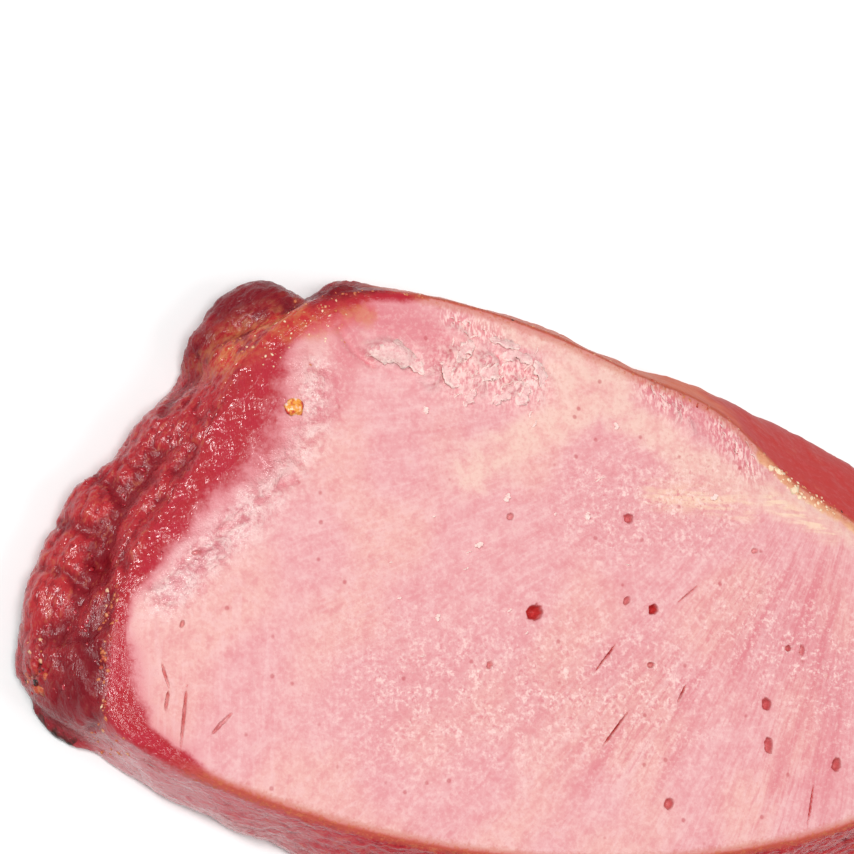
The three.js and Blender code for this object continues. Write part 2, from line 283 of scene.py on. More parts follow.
def length(name, description, default):
    return FloatProperty(
        name=name, description=description, default=default, min=0, unit="LENGTH", subtype="DISTANCE"
    )


def colour(name, description, default):
    return FloatVectorProperty(
        name=name, description=description, default=(*default, 1), size=4, min=0, max=1, subtype="COLOR"
    )


class HamSizes(bpy.types.PropertyGroup):
    """Sizes of the slice's relief and of what lies on it"""

    skin_cell: length("Skin cell", "Width of one cell of the slice's skin", 0.48 * MM)
    lump: length("Bark lump", "Width of the bark's larger lumps", 4.5 * MM)
    bead: length("Bark bead", "Width of the beads in the bark", 1.15 * MM)
    bundle: length("Fibre bundle", "Width of a bundle of fibres in the cut face", 1.9 * MM)
    crumb: length("Crumb", "Width of the crumbs in the cut face's loose patches", 0.95 * MM)
    shred: length("Shred thickness", "Thickness of a loose shred", 0.32 * MM)


class HamColours(bpy.types.PropertyGroup):
    """Colours of the cooked meat, its fat and its glaze, and the light and shade painted on them"""

    lean: colour("Lean", "Main colour of the cut face", (0.735, 0.352, 0.364))
    pale: colour("Pale lean", "Crumbs and pale fibres", (0.80, 0.50, 0.497))
    rose: colour("Rosy lean", "Darker fibres", (0.65, 0.185, 0.215))
    peach: colour("Peach lean", "Patches with melted fat in them", (0.77, 0.418, 0.372))
    fat: colour("Fat", "Seams of fat", (0.80, 0.53, 0.45))
    # Cream: dry torn edges and salt flecks, and also painted glints on the crumbs and torn ridges of the cut face
    # and on the sugar drop.
    cream: colour("Cream", "Dry torn edges and salt flecks", (0.92, 0.67, 0.62))
    gold: colour("Gold", "Fat browned along the rind", (0.80, 0.42, 0.19))
    # Painted glare: silvery patches that stand in for the wet sheen beside the bark.
    painted_glare: colour("Frost", "Silvery skin beside the bark", (0.88, 0.60, 0.585))
    red: colour("Cured red", "Where the cure and smoke went in", (0.44, 0.012, 0.03))
    # Pore: painted shade inside the pores and splits, in a deep red.
    pore: colour("Pore", "Inside of pores and splits", (0.55, 0.04, 0.04))
    bark: colour("Bark", "Main colour of the glazed bark", (0.42, 0.013, 0.022))
    # Maroon: the dark knob and foot of the bark, and also painted shade in its hollows and fine creases.
    maroon_and_shade: colour("Maroon", "Folds of the bark", (0.15, 0.004, 0.011))
    # Scarlet: thin clear glaze, and also painted light on the tops of the bark's lobes.
    scarlet: colour("Scarlet", "Thin clear glaze", (0.58, 0.034, 0.028))
    burnt: colour("Burnt", "Charred edges", (0.022, 0.008, 0.005))
    amber: colour("Amber", "Caramel", (0.60, 0.17, 0.06))
    # Crust: the thin crust along the rim, and also a painted warm highlight on the ridges of the bark's grain.
    crust_and_highlight: colour("Crust", "The thin crust along the rim", (0.53, 0.14, 0.065))
    crisp: colour("Crisp fat", "Cream-yellow crisp crumbs", (0.90, 0.69, 0.47))
    rind: colour("Rind", "Smooth red rind", (0.49, 0.04, 0.037))
    waxy: colour("Waxy rind", "Smooth orange rind", (0.64, 0.135, 0.06))
    sugar: colour("Burnt sugar", "The drop on the cut face", (0.82, 0.33, 0.045))
    floor: colour("Floor", "The floor under the slice", (0.93, 0.93, 0.93))


class HamStage(bpy.types.PropertyGroup):
    """Light and camera"""

    key: FloatProperty(name="Key light", description="Power of the main light", default=4.2, unit="POWER")
    fill: FloatProperty(name="Fill light", description="Power of the side light", default=3.8, unit="POWER")
    top: FloatProperty(name="Top light", description="Power of the top light", default=5.6, unit="POWER")
    sky: FloatProperty(name="Surroundings", description="Brightness of the surroundings", default=0.28)
    lens: FloatProperty(name="Lens", description="Focal length", default=110, unit="CAMERA")
    seed: IntProperty(name="Seed", description="Start of all random draws", default=SEED)


# ---- Curves, distances and noise ----


def rim_samples(steps=48):
    """Points along the closed rim, each with its outward direction, flare and length so far."""
    rows = np.array(RIM, float)
    before, after, beyond = (np.roll(rows, shift, axis=0) for shift in (1, -1, -2))
    stops = (before, rows, after, beyond)
    first, middle, last = (
        np.sqrt(np.linalg.norm(stops[i + 1] - stops[i], axis=1))[:, None] for i in range(3)
    )
    leave = ((rows - before) / first - (after - before) / (first + middle) + (after - rows) / middle) * middle
    arrive = ((after - rows) / middle - (beyond - rows) / (middle + last) + (beyond - after) / last) * middle
    points = []
    for t in np.arange(steps) / steps:
        points.append(
            (2 * t**3 - 3 * t**2 + 1) * rows + (t**3 - 2 * t**2 + t) * leave
            + (3 * t**2 - 2 * t**3) * after + (t**3 - t**2) * arrive
        )
    points = np.stack(points, axis=1).reshape(-1, 3)
    ahead = np.roll(points, -1, axis=0) - np.roll(points, 1, axis=0)
    outward = np.stack([ahead[:, 1], -ahead[:, 0]], axis=1)
    outward /= np.linalg.norm(outward, axis=1)[:, None]
    steps_along = np.linalg.norm((points - np.roll(points, 1, axis=0))[:, :2], axis=1)
    return points[:, :2], outward, np.cumsum(steps_along)


def bell(distance, reach):
    return np.exp(-((distance / reach) ** 2))


def ease(value, low, high):
    """0 at low, 1 at high, and smooth between them."""
    t = np.clip((value - low) / (high - low), 0, 1)
    return t * t * (3 - 2 * t)


def path_distance(at, path):
    """Distance from each point to a line of points, in the plane or in space as the line is given."""
    axes = len(path[0])
    nearest = np.full(len(at), np.inf)
    for start, end in zip(path[:-1], path[1:]):
        start, run = np.array(start, float), np.subtract(end, start)
        share = np.clip((at[:, :axes] - start) @ run / (run @ run), 0, 1)
        gap = at[:, :axes] - start - share[:, None] * run
        nearest = np.minimum(nearest, np.linalg.norm(gap, axis=1))
    return nearest


def zone(at, paths):
    """How strongly each point lies in a zone, from 0 to 1."""
    return np.max([bell(path_distance(at, path), reach) for path, reach in paths], axis=0)


def fold_distance(at):
    """Distance to the nearest fold of the cut face, wandering a little."""
    return np.min([path_distance(at, path) for path in FOLDS], axis=0) + 0.7 * rough(at, 4, 25.1)


def rough(at, size, seed=0.0):
    """Smooth noise from about -1 to 1, with lumps of that size: one number, or one along each axis."""
    return np.array([noise.noise(cell) for cell in (at / size + seed).tolist()])


def domes(at, size, seed=0.0):
    """Round beads of that size: 1 on top of each, and 0 between them."""
    nearest = np.array([noise.voronoi(cell)[0][0] for cell in (at / size + seed).tolist()])
    return np.clip(1 - (nearest / 0.62) ** 2, 0, 1)


def ellipse_reach(at, x, y, half_length, half_width, angle):
    """0 in the middle of an ellipse and 1 on its edge."""
    turn = math.radians(angle)
    dx, dy = at[:, 0] - x, at[:, 1] - y
    along = dx * math.cos(turn) + dy * math.sin(turn)
    across = dy * math.cos(turn) - dx * math.sin(turn)
    return np.hypot(along / half_length, across / half_width)


def pits():
    """Every pore and split: the ellipse's x, y, half length, half width and angle, and its darkness."""
    holes = [(x, y, width * stretch, width, angle, dark) for x, y, width, stretch, angle, dark in PORES]
    for x0, y0, x1, y1, width, dark in SPLITS:
        angle = math.degrees(math.atan2(y1 - y0, x1 - x0))
        half_length = math.hypot(x1 - x0, y1 - y0) / 2
        holes.append(((x0 + x1) / 2, (y0 + y1) / 2, half_length, width / 2, angle, dark))
    return holes


class Skin:
    """The slice's vertices on the drawing, and where each lies from the rim of the cut face."""

    def __init__(self, mesh):
        self.mesh = mesh
        count = len(mesh.vertices)
        place, normal = np.empty(3 * count), np.empty(3 * count)
        mesh.vertices.foreach_get("co", place)
        mesh.vertices.foreach_get("normal", normal)
        self.at = place.reshape(-1, 3) / MM - np.array(DRAWING_ZERO)
        self.normal = normal.reshape(-1, 3)
        self.measure_rim()
        angle = np.arctan2(self.at[:, 1] - FIBRE_FAN[1], self.at[:, 0] - FIBRE_FAN[0]) % (2 * math.pi)
        reach = np.hypot(self.at[:, 0] - FIBRE_FAN[0], self.at[:, 1] - FIBRE_FAN[1])
        self.fan = np.stack([80 * angle, reach, self.at[:, 2]], axis=1)

    def measure_rim(self):
        points, outward, so_far = rim_samples()
        tree = kdtree.KDTree(len(points))
        for i, (x, y) in enumerate(points.tolist()):
            tree.insert((x, y, 0), i)
        tree.balance()
        nearest = np.array([tree.find((x, y, 0))[1] for x, y, _ in self.at.tolist()])
        beyond = np.einsum("ij,ij->i", self.at[:, :2] - points[nearest], outward[nearest])
        below = np.clip(THICKNESS - self.at[:, 2], 0, None)
        on_face = (beyond < 0.4) & (self.normal[:, 2] > 0.35) & (below < 4)
        self.inside = np.where(on_face, -beyond, -np.hypot(beyond, below))
        self.run = nearest / len(points) * len(RIM) + 0.3 * rough(self.at, 4.0, 90.9)
        self.measure_back()
        turn = 2 * math.pi * so_far[nearest] / so_far[-1]
        radius = 0.45 * so_far[-1] / (2 * math.pi) + beyond
        self.band = np.stack([radius * np.cos(turn), radius * np.sin(turn), self.at[:, 2]], axis=1)

    def measure_back(self):
        """The flat back is cut meat too: there, inside counts from the foot of the bark."""
        foot = self.at[(self.at[:, 2] > 0.02) & (self.at[:, 2] < 0.6)]
        tree = kdtree.KDTree(len(foot))
        for i, (x, y, _) in enumerate(foot.tolist()):
            tree.insert((x, y, 0), i)
        tree.balance()
        for i in np.flatnonzero(self.at[:, 2] <= 0.02):
            self.inside[i] = tree.find((*self.at[i, :2], 0))[2] - 0.4

    def look(self, column):
        """One column of EDGE_LOOKS at each vertex."""
        rows = np.array(EDGE_LOOKS, float)
        return np.interp(self.run, rows[:, 0], rows[:, column], period=len(RIM))

    def up(self):
        """Whether each vertex can carry relief, which the flat back can't."""
        return self.at[:, 2] > 0.02

    def move(self, by, direction=None):
        """Moves every vertex by that many millimetres along its normal, or along one direction."""
        self.at += by[:, None] * (self.normal if direction is None else direction)

    def write_places(self):
        place = (self.at + np.array(DRAWING_ZERO)) * MM
        self.mesh.vertices.foreach_set("co", place.ravel())
        self.mesh.update()

    def paint(self, name, values):
        """Keeps one number, or three, for each vertex, which the materials read by name."""
        flat = values.ndim == 1
        layer = self.mesh.attributes.new(name, "FLOAT" if flat else "FLOAT_VECTOR", "POINT")
        layer.data.foreach_set("value" if flat else "vector", values.astype(np.float32).ravel())


# ---- The slice's skin ----


def new_piece(name, mesh, *materials):
    """An object at the origin that rides on the slice's only body."""
    piece = bpy.data.objects.new(name, mesh)
    bpy.context.scene.collection.objects.link(piece)
    for material in materials:
        mesh.materials.append(material)
    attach(piece, BODY)
    return piece


def even_skin(cell):
    """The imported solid's surface in square cells of about that width, with larger ones on the back."""
    source = bmesh.new()
    source.from_mesh(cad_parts[CAD_NODE].data)
    bmesh.ops.remove_doubles(source, verts=source.verts, dist=0.001 * MM)
    fine = run_modifier(source, "REMESH", mode="VOXEL", voxel_size=cell)
    lies = [v.co.z < 0.02 * MM for v in fine.verts]
    fine.verts.index_update()
    inner = [v.index for v in fine.verts if all(lies[w.index] for e in v.link_edges for w in e.verts)]
    kept = 1 - (len(inner) - BACK_VERTICES) / len(fine.verts)
    return run_modifier(fine, "DECIMATE", group=inner, ratio=kept, vertex_group="chosen")


BACK_VERTICES = 1500


def run_modifier(shape, kind, group=(), **settings):
    """The shape, as a new one, after one modifier, which acts on the chosen vertices."""
    mesh = bpy.data.meshes.new("carrier")
    shape.to_mesh(mesh)
    shape.free()
    carrier = bpy.data.objects.new("carrier", mesh)
    bpy.context.scene.collection.objects.link(carrier)
    if group:
        carrier.vertex_groups.new(name="chosen").add(group, 1.0, "REPLACE")
    modifier = carrier.modifiers.new(kind, kind)
    for name, value in settings.items():
        setattr(modifier, name, value)
    evaluated = carrier.evaluated_get(bpy.context.evaluated_depsgraph_get())
    result = bmesh.new()
    result.from_mesh(evaluated.to_mesh())
    evaluated.to_mesh_clear()
    bpy.data.objects.remove(carrier)
    return result


def soften(skin, verts, times, upright_only=False):
    sides = not upright_only
    for _ in range(times):
        bmesh.ops.smooth_vert(
            skin, verts=verts, factor=0.5, use_axis_x=sides, use_axis_y=sides, use_axis_z=True
        )


def near_pits(centres, margin):
    """Which of these places, in metres, lie within that many millimetres of a pore or split."""
    at = np.array(centres) / MM - np.array(DRAWING_ZERO)
    near = np.zeros(len(at), bool)
    for x, y, half_length, half_width, angle, _ in pits():
        near |= ellipse_reach(at, x, y, half_length + margin, half_width + margin, angle) < 1
    return near & (at[:, 2] > THICKNESS - 3)


def level_hollows(skin):
    """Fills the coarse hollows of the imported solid, which are carved again in fine cells."""
    verts = list(skin.verts)
    near = near_pits([v.co for v in verts], 0.8)
    soften(skin, [verts[i] for i in np.flatnonzero(near)], 60, upright_only=True)


def refine_pits(skin):
    """Splits the cells around each pore and split, twice."""
    for margin in (0.7, 0.35):
        faces = list(skin.faces)
        near = near_pits([f.calc_center_median() for f in faces], margin)
        edges = {e for i in np.flatnonzero(near) for e in faces[i].edges}
        bmesh.ops.subdivide_edges(skin, edges=list(edges), cuts=1, use_grid_fill=True)


def base_skin(cell):
    """The softened skin of the slice, with a flat back and fine cells where the pores are."""
    skin = even_skin(cell)
    face = [v for v in skin.verts if v.co.z > 12.3 * MM and v.normal.z > 0.8]
    wall = [v for v in skin.verts if v.co.z > 0.02 * MM and v.normal.z <= 0.8]
    soften(skin, wall, 7)
    soften(skin, face, 3)
    level_hollows(skin)
    refine_pits(skin)
    for f in skin.faces:
        f.smooth = f.calc_center_median().z > 0.02 * MM
    bmesh.ops.triangulate(skin, faces=[f for f in skin.faces if len(f.verts) > 4])
    mesh = bpy.data.meshes.new(SLICE)
    skin.to_mesh(mesh)
    skin.free()
    return mesh


# ---- Carving ----


def carve_bark(skin, sizes):
    """Lobes, valleys, folds along the band, and beads, all fading towards the clean rim and the foot."""
    beads, folds = skin.look(1), skin.look(2)
    lump = sizes.lump / MM
    lobes = sum(
        rise * bell(np.linalg.norm(skin.at - np.array([x, y, z]), axis=1), reach)
        for x, y, z, reach, rise in BARK_LOBES
    )
    valleys = sum(depth * bell(path_distance(skin.at, path), reach) for path, reach, depth in BARK_VALLEYS)
    lumps = rough(skin.band, lump, 3.1) + 0.6 * rough(skin.band, lump / 2, 8.3)
    creases = bell(rough(skin.band, 2.6, 21.7), 0.10) + 0.7 * bell(rough(skin.band, 1.3, 5.9), 0.12)
    rise = lobes - 0.85 * valleys + folds * (0.42 * lumps - 0.22 * creases)
    rise += 0.17 * beads * domes(skin.band, sizes.bead / MM, 2.2)
    rise += 0.14 * beads * rough(skin.at, 0.8, 9.1)
    grown = ease(-skin.inside, -0.6, 2.0) * ease(skin.at[:, 2], 0.0, 1.6)
    skin.move(np.where((skin.inside < 0.6) & skin.up(), rise * grown, 0))
    # How deep each vertex lies in the bark's hollows, where its colour paints shade, and how high on its lobes,
    # where its colour paints light.
    hollow = np.clip(0.75 * valleys + 0.35 * folds * creases - 0.25 * lumps, 0, 1.2)
    return hollow, np.clip(lobes + 0.3 * lumps, 0, 1.2)


def carve_face(skin, sizes):
    """Bundles of fibres, crumbly patches, the fold and torn flesh of the cut face."""
    bundle, crumb = sizes.bundle / MM, sizes.crumb / MM
    crumbly, torn = zone(skin.at, CRUMBLY), zone(skin.at, TORN)
    fibres = rough(skin.fan, np.array([bundle, 9 * bundle, 40.0]), 4.4)
    fibres += 0.5 * rough(skin.fan, np.array([bundle / 2, 5 * bundle, 40.0]), 7.7)
    rise = 0.10 * fibres * (1 - 0.5 * crumbly)
    rise += (0.03 + 0.13 * crumbly) * domes(skin.fan, np.array([crumb, 1.4 * crumb, 3.0]), 1.4)
    rise += 0.05 * rough(skin.at, 1.3, 6.6)
    flakes = ease(rough(skin.at, 2.4, 12.5) + 0.5 * rough(skin.at, 1.2, 3.3), -0.1, 0.1)
    rise += torn * (0.5 * flakes + 0.22 * rough(skin.at, 0.9, 4.1) - 0.2)
    away = fold_distance(skin.at)
    rise += 0.25 * bell(away - 1.3, 0.9) - 0.45 * bell(away, 0.6)
    rise += zone(skin.at, GLITTER) * (0.3 * rough(skin.at, 1.1, 15.5) + 0.7 * rough(skin.at, 3.2, 2.5))
    rise += zone(skin.at, FRAYED) * 0.4 * rough(skin.at, np.array([0.8, 1.9, 3.0]), 19.5)
    soaked = bell(skin.inside - 1, 0.5 * skin.look(3)) * ease(skin.look(3), 2, 5)
    rise += soaked * (0.3 * rough(skin.band, 2.6, 3.9) + 0.16 * rough(skin.band, 1.0, 7.2))
    crusty = ease(skin.look(3), 1.2, 0.6) * bell(skin.inside - 0.5, 0.8)
    rise += crusty * (0.12 + 0.3 * rough(skin.at, 0.8, 13.3))
    rise *= ease(skin.inside, -0.3, 0.3)
    skin.move(np.where(skin.at[:, 2] > 9, rise, 0), np.array([0, 0, 1.0]))


def carve_pits(skin):
    """Presses the pores and splits into the cut face, and returns how much painted shade each puts on its vertices.
    """
    ragged = rough(skin.at, 0.5, 30.3)
    broken = ease(rough(skin.at, 1.5, 33.3), -0.35, 0.15)
    on_face = (skin.inside > 0) & (skin.at[:, 2] > 9)
    inner = np.zeros(len(skin.at))
    for x, y, half_length, half_width, angle, dark in pits():
        reach = ellipse_reach(skin.at, x, y, half_length, half_width, angle) * (1 + 0.25 * ragged)
        depth = (0.5 + dark) * min(1.1, half_width + 0.25)
        press = depth * np.clip(1 - reach**2.4, 0, 1)
        lip = 0.06 * bell(reach - 1.3, 0.3)
        skin.move(np.where(on_face, lip - press, 0), np.array([0, 0, 1.0]))
        gaps = 1 if half_length < 3 * half_width else 0.3 + 0.7 * broken
        inner = np.maximum(inner, dark * gaps * ease(reach, 1.15, 0.75))
    return np.where(on_face, inner, 0)


def paint_skin(skin, hollow, lobe_light, pit):
    """Gives the materials the coordinates and zones that they read."""
    at = skin.at
    charred = ease(at[:, 2], 3.4, 0.4) * ease(skin.run, 23.0, 24.2)
    ragged = 1 + 0.3 * rough(at, 6.5, 60.6) + 0.2 * rough(at, 2.6, 70.7)
    soaked = np.clip(1.4 - skin.inside / (skin.look(3) * ragged), 0, 1.4) + 0.8 * zone(at, CORNER_RED)
    soaked = np.where(skin.up(), soaked, np.clip(1.2 - skin.inside / 2, 0, 1.4))
    muscle, reach = LEFT_MUSCLE
    for name, values in {
        "fan": skin.fan,
        "band": skin.band,
        "inside": np.clip(skin.inside, -4, 12),
        "overlap": skin.look(6) * skin.up(),
        "soaked_reach": skin.look(3),
        "hollow": hollow,
        "lobe_light": lobe_light,
        "pit": pit,
        "soaked": soaked,
        "gold": zone(at, GOLD),
        "creamy": zone(at, CREAMY),
        "rind": skin.look(4),
        "bare_wall": skin.look(5),
        "charred": charred,
        "plum": zone(at, PLUM),
        "fat": zone(at, FAT_SEAMS),
        "amber": zone(at, AMBER),
        "glitter": zone(at, GLITTER),
        "frayed": zone(at, FRAYED),
        "torn": zone(at, TORN),
        "crumbly": zone(at, CRUMBLY),
        "streaky": zone(at, STREAKY),
        # Rosier lean in its zones, and painted shade along the fold's crease.
        "rosy_and_fold_shade": zone(at, ROSY) + 0.45 * zone(at, FLUSHED) + 0.8 * bell(fold_distance(at), 0.6),
        "warm": 0.5 + 0.5 * rough(at, 11, 40.4),
        "broad": 0.5 + 0.5 * rough(skin.fan, np.array([2.5, 22, 10]), 50.5),
        "orange": skin.look(7),
        "left_muscle": ease(path_distance(at, muscle), reach + 4, reach - 3),
    }.items():
        skin.paint(name, values)


# ---- Node trees ----


class Graph:
    """Adds nodes to one tree and joins them. An input is a number, a colour or another node's output."""

    def __init__(self, tree):
        self.tree = tree
        self.tree.nodes.clear()

    def add(self, kind, inputs=None, **settings):
        node = self.tree.nodes.new(kind)
        for name, value in settings.items():
            setattr(node, name, value)
        for name, value in (inputs or {}).items():
            self.feed(node.inputs[name], value)
        return node

    def feed(self, socket, value):
        if isinstance(value, bpy.types.NodeSocket):
            self.tree.links.new(value, socket)
        else:
            socket.default_value = value

    def read(self, name):
        """A number that each vertex carries."""
        return self.add("ShaderNodeAttribute", attribute_name=name).outputs["Fac"]

    def read_place(self, name):
        """Three numbers that each vertex carries."""
        return self.add("ShaderNodeAttribute", attribute_name=name).outputs["Vector"]

    def math(self, operation, first, second=0.0, clamp=False):
        return self.add("ShaderNodeMath", {0: first, 1: second}, operation=operation, use_clamp=clamp).outputs[0]

    def times(self, first, second):
        return self.math("MULTIPLY", first, second)

    def plus(self, first, second):
        return self.math("ADD", first, second)

    def mask(self, value, low, high):
        """0 where the value is at low, 1 at high, and smooth between them."""
        limits = {"Value": value, "From Min": low, "From Max": high}
        return self.add("ShaderNodeMapRange", limits, interpolation_type="SMOOTHSTEP").outputs[0]

    def tint(self, share, under, over):
        return self.add("ShaderNodeMix", {0: share, 6: under, 7: over}, data_type="RGBA").outputs[2]

    def blend(self, share, under, over):
        return self.add("ShaderNodeMix", {0: share, 2: under, 3: over}, data_type="FLOAT").outputs[0]

    def stretch(self, place, scale, turn=0.0, shift=(0, 0, 0)):
        """Coordinates moved, turned about Z and scaled."""
        inputs = {"Vector": place, "Location": shift, "Rotation": (0, 0, turn), "Scale": scale}
        return self.add("ShaderNodeMapping", inputs).outputs[0]

    def noise(self, place, scale=1.0, detail=2.0, roughness=0.5, twist=0.0):
        inputs = {"Vector": place, "Scale": scale, "Detail": detail, "Roughness": roughness, "Distortion": twist}
        return self.add("ShaderNodeTexNoise", inputs).outputs["Fac"]

    def wobble(self, place, scale, reach):
        """The place, drifting smoothly by up to about half that reach."""
        drift = self.add("ShaderNodeTexNoise", {"Vector": place, "Scale": scale, "Detail": 1.0}).outputs["Color"]
        inputs = {0: drift, 1: (reach, reach, reach), 2: place}
        return self.add("ShaderNodeVectorMath", inputs, operation="MULTIPLY_ADD").outputs[0]

    def cells(self, place, scale=1.0, feature="F1"):
        return self.add("ShaderNodeTexVoronoi", {"Vector": place, "Scale": scale}, feature=feature)

    def group(self, tree, **inputs):
        node = self.add("ShaderNodeGroup", node_tree=tree)
        for name, value in inputs.items():
            self.feed(node.inputs[name.replace("_", " ")], value)
        return node.outputs


def group_tree(name, inputs, outputs):
    """An empty node group with these sockets, its inputs' outputs by name, and its output node."""
    tree = bpy.data.node_groups.new(name, "ShaderNodeTree")
    graph = Graph(tree)
    for label, kind in inputs.items():
        tree.interface.new_socket(label, in_out="INPUT", socket_type="NodeSocket" + kind)
    for label, kind in outputs.items():
        tree.interface.new_socket(label, in_out="OUTPUT", socket_type="NodeSocket" + kind)
    start, end = graph.add("NodeGroupInput"), graph.add("NodeGroupOutput")
    return tree, graph, start.outputs, end


def dots_group():
    """Scattered dots: a share of round cells shows one each, with a soft edge."""
    inputs = {"Place": "Vector", "Per Millimetre": "Float", "Share": "Float", "Radius": "Float"}
    tree, g, start, end = group_tree("Ham Dots", inputs, {"Mask": "Float"})
    cell = g.cells(start["Place"], start["Per Millimetre"])
    pick = g.add("ShaderNodeSeparateColor", {0: cell.outputs["Color"]}).outputs[0]
    chosen = g.math("LESS_THAN", pick, start["Share"])
    edge = g.math("SUBTRACT", start["Radius"], cell.outputs["Distance"])
    soft = g.math("DIVIDE", edge, g.times(start["Radius"], 0.5), clamp=True)
    g.feed(end.inputs["Mask"], g.times(chosen, soft))
    return tree


def grit_group():
    """Crumbly grit: pale crumbs and the darker squiggly gaps between them."""
    tree, g, start, end = group_tree(
        "Ham Grit", {"Place": "Vector", "Per Millimetre": "Float"},
        {"Crumb": "Float", "Gap": "Float", "Height": "Float"},
    )
    grit = g.noise(start["Place"], start["Per Millimetre"], 2.0, 0.7)
    g.feed(end.inputs["Crumb"], g.mask(grit, 0.50, 0.66))
    g.feed(end.inputs["Gap"], g.mask(grit, 0.47, 0.35))
    g.feed(end.inputs["Height"], grit)
    return tree


def shader(material_name, **settings):
    """A material with one Principled BSDF, its graph, and the shader's inputs."""
    material = bpy.data.materials.new(material_name)
    material.use_nodes = True
    graph = Graph(material.node_tree)
    principled = graph.add("ShaderNodeBsdfPrincipled")
    graph.add("ShaderNodeOutputMaterial", {"Surface": principled.outputs[0]})
    for name, value in settings.items():
        principled.inputs[name.replace("_", " ")].default_value = value
    return material, graph, principled.inputs


def millimetres(g):
    """The object's own coordinates in millimetres."""
    place = g.add("ShaderNodeTexCoord").outputs["Object"]
    return g.stretch(place, (1 / MM, 1 / MM, 1 / MM))


class Groups:
    """The node groups that the materials share, each made once."""

    made = {}

    @classmethod
    def get(cls, name):
        makers = {"dots": dots_group, "grit": grit_group}
        if name not in cls.made:
            cls.made[name] = makers[name]()
        return cls.made[name]


def add_flesh(g, c, place, grit):
    """Pink lean with mottles, streaks of fibres, crumbly grit and seams of fat, and painted glints on its pale
    crumbs and torn ridges.
    """
    fan = g.read_place("fan")
    broad = g.read("broad")
    along_left = g.stretch(place, (1.1, 0.10, 0.3), math.radians(-4))
    along = g.tint(g.read("left_muscle"), g.stretch(fan, (1.7, 0.22, 0.3)), along_left)
    fine = g.noise(along, 1.0, 2.0, 0.6)
    mottle = g.noise(place, 0.42, 3.0, 0.6)
    streaky = g.plus(0.22, g.times(0.78, g.read("streaky")))
    loose = g.times(g.read("crumbly"), g.mask(mottle, 0.40, 0.60))
    frayed = g.noise(g.stretch(place, (2.4, 0.9, 0.8), math.radians(-20)), 1.0, 2.0, 0.6)

    shade = g.tint(g.times(0.75, g.mask(g.read("warm"), 0.40, 0.70)), c.lean, c.peach)
    shade = g.tint(g.times(0.35, g.mask(mottle, 0.50, 0.32)), shade, c.rose)
    shade = g.tint(g.times(0.45, g.mask(mottle, 0.50, 0.68)), shade, c.pale)
    shade = g.tint(g.times(g.times(0.8, streaky), g.mask(broad, 0.50, 0.15)), shade, c.rose)
    shade = g.tint(g.times(g.times(0.8, streaky), g.mask(broad, 0.55, 0.90)), shade, c.pale)
    shade = g.tint(g.times(g.times(0.55, streaky), g.mask(fine, 0.50, 0.32)), shade, c.rose)
    shade = g.tint(g.times(0.35, g.mask(fine, 0.52, 0.70)), shade, c.pale)
    # Rosier lean, and painted shade along the fold.
    shade = g.tint(g.times(0.75, g.mask(g.read("rosy_and_fold_shade"), 0.0, 1.0)), shade, c.rose)
    wobble = g.math("SUBTRACT", g.plus(g.times(0.4, broad), g.times(0.6, mottle)), 0.5)
    fat = g.mask(g.plus(g.read("fat"), g.times(1.5, wobble)), 0.1, 1.0)
    shade = g.tint(g.times(0.85, fat), shade, g.tint(g.mask(mottle, 0.30, 0.62), c.peach, c.fat))
    smear = g.noise(g.stretch(place, (0.16, 1.1, 1), math.radians(6)), 1.0, 2.0, 0.6)
    smear = g.tint(g.mask(smear, 0.42, 0.58), c.peach, c.crisp)
    shade = g.tint(g.times(0.6, g.read("creamy")), shade, smear)
    shade = g.tint(g.times(0.14, g.read("crumbly")), shade, c.rose)
    # Pale crumbs in cream: partly the crumbs' own colour, partly painted glints on the wet grit.
    shade = g.tint(g.times(g.plus(0.18, g.times(loose, 0.5)), grit["Crumb"]), shade, c.cream)
    shade = g.tint(g.times(g.plus(0.20, g.times(loose, 0.5)), grit["Gap"]), shade, c.rose)
    beads = {"Place": g.wobble(place, 1.3, 1.6), "Per_Millimetre": 1.15, "Share": 0.42, "Radius": 0.42}
    shade = g.tint(g.times(g.times(0.75, loose), g.group(Groups.get("dots"), **beads)["Mask"]), shade, c.cream)
    frayed = g.tint(g.mask(frayed, 0.42, 0.62), c.rose, c.cream)
    shade = g.tint(g.times(0.75, g.read("frayed")), shade, frayed)
    # Cream on the tops of the torn flesh: partly dry edges, partly painted highlight.
    torn = g.times(g.read("torn"), g.mask(grit["Height"], 0.42, 0.6))
    return g.tint(g.times(0.5, torn), shade, c.cream), fine, mottle


